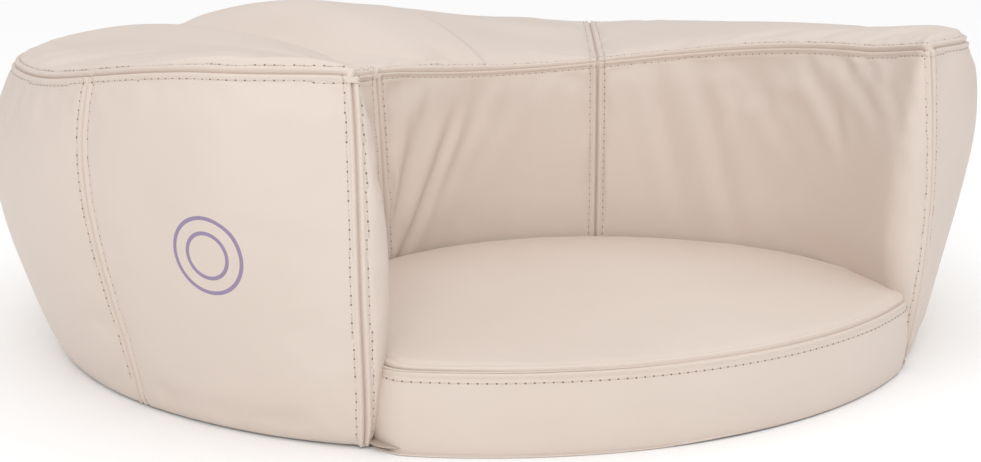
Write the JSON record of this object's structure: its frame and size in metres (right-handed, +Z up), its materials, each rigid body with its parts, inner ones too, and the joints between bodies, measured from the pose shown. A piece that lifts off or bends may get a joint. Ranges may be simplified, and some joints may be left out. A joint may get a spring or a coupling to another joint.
{
  "type": "round floor seat",
  "caption": "Round low floor seat: a crescent-shaped padded wall in sewn leather-look panels around a lift-out seat cushion, open at the front.",
  "frame": {"origin": "centre of the round base, on the floor", "axes": "+Z up; the seat's open front faces -Y; +X to the right as seen from the front"},
  "size_m": [0.8008, 0.7699, 0.252],
  "materials": {
    "cover_leather": "smooth beige faux leather, soft satin sheen",
    "foam": "open-cell polyurethane foam, off-white",
    "wadding": "white polyester fibre wrap",
    "non_slip_sheet": "woven sheet with raised rubber dots",
    "lining": "plain woven lining",
    "zip_tape": "woven polyester tape",
    "zip_teeth": "moulded nylon coil",
    "zip_metal": "nickel-plated die casting",
    "hook_and_loop": "napped hook and loop tape"
  },
  "bodies": {
    "wall": {"base_panel": "non_slip_sheet", "base_loop_strips": "hook_and_loop", "left_arm_front_core": "foam", "left_arm_rear_core": "foam", "back_core": "foam", "right_arm_rear_core": "foam", "right_arm_front_core": "foam", "left_arm_wadding": "wadding", "back_wadding": "wadding", "right_arm_wadding": "wadding", "outer_left_front_panel": "cover_leather", "outer_left_side_panel": "cover_leather", "outer_back_panel": "cover_leather", "outer_right_side_panel": "cover_leather", "outer_right_front_panel": "cover_leather", "inner_left_panel": "cover_leather", "inner_back_panel": "cover_leather", "inner_right_panel": "cover_leather", "top_left_panel": "cover_leather", "top_back_panel": "cover_leather", "top_right_panel": "cover_leather", "cover_zip_tapes": "zip_tape", "cover_zip_teeth": "zip_teeth", "cover_zip_stops": "zip_metal"},
    "seat": {"seat_base_foam": "foam", "seat_comfort_foam": "foam", "seat_wadding": "wadding", "seat_top_panel": "cover_leather", "seat_bottom_panel": "lining", "seat_front_boxing": "cover_leather", "seat_rear_boxing": "cover_leather", "seat_zip_tapes": "zip_tape", "seat_zip_teeth": "zip_teeth", "seat_zip_stops": "zip_metal", "seat_hook_strips": "hook_and_loop"},
    "cover_zip_runner": {"cover_zip_slider": "zip_metal"},
    "cover_zip_tab": {"cover_zip_pull": "zip_metal"},
    "seat_zip_runner": {"seat_zip_slider": "zip_metal"}
  },
  "joints": [
    {"name": "seat_lift_out", "type": "slide", "parent": "wall", "child": "seat", "axis": [0, 0, 1], "range_m": [0, 0.3]},
    {"name": "cover_zip_travel", "type": "hinge", "parent": "wall", "child": "cover_zip_runner", "pos_m": [0, 0, 0.02], "axis": [0, 0, -1], "range_deg": [0, 66.9]},
    {"name": "cover_zip_pull_swing", "type": "hinge", "parent": "cover_zip_runner", "child": "cover_zip_tab", "pos_m": [-0.20877, 0.31566, 0.02], "axis": [0, 0, 1], "range_deg": [0, 165]},
    {"name": "seat_zip_travel", "type": "hinge", "parent": "seat", "child": "seat_zip_runner", "pos_m": [0, -0.228, 0.03], "axis": [0, 0, -1], "range_deg": [0, 112.7]}
  ]
}
